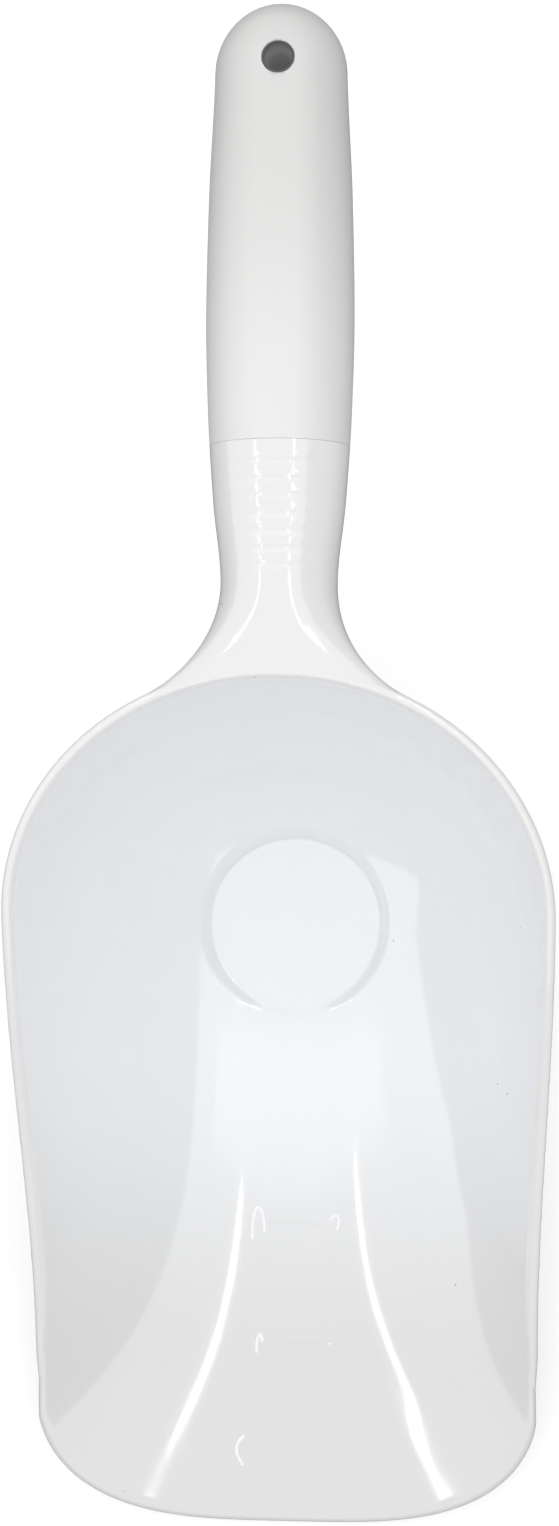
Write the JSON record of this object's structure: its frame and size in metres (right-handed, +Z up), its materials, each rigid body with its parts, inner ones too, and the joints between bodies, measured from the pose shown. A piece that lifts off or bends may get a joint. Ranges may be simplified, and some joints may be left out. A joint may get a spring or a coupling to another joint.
{
  "type": "ice scoop",
  "caption": "Hand scoop for ice or dry goods: an open rounded bowl with a straight lip and a round foot, on a hollow grip with a hanging hole.",
  "frame": {"origin": "under the middle of the scoop's length and width, on the plane that the foot stands on", "axes": "+X across the scoop, +Y along it from the lip towards the end of the grip, +Z up out of the bowl's opening"},
  "size_m": [0.121, 0.335, 0.0876],
  "materials": {
    "bowl_plastic": "smooth gloss, cool white",
    "frame_plastic": "smooth gloss, warm white",
    "grip_plastic": "satin, warm white",
    "sleeve_plastic": "satin, dark grey"
  },
  "bodies": {
    "root": {"bowl": "bowl_plastic", "handle_frame": "frame_plastic", "grip_front_shell": "grip_plastic", "grip_back_shell": "grip_plastic", "hang_hole_sleeve": "sleeve_plastic"}
  },
  "joints": []
}
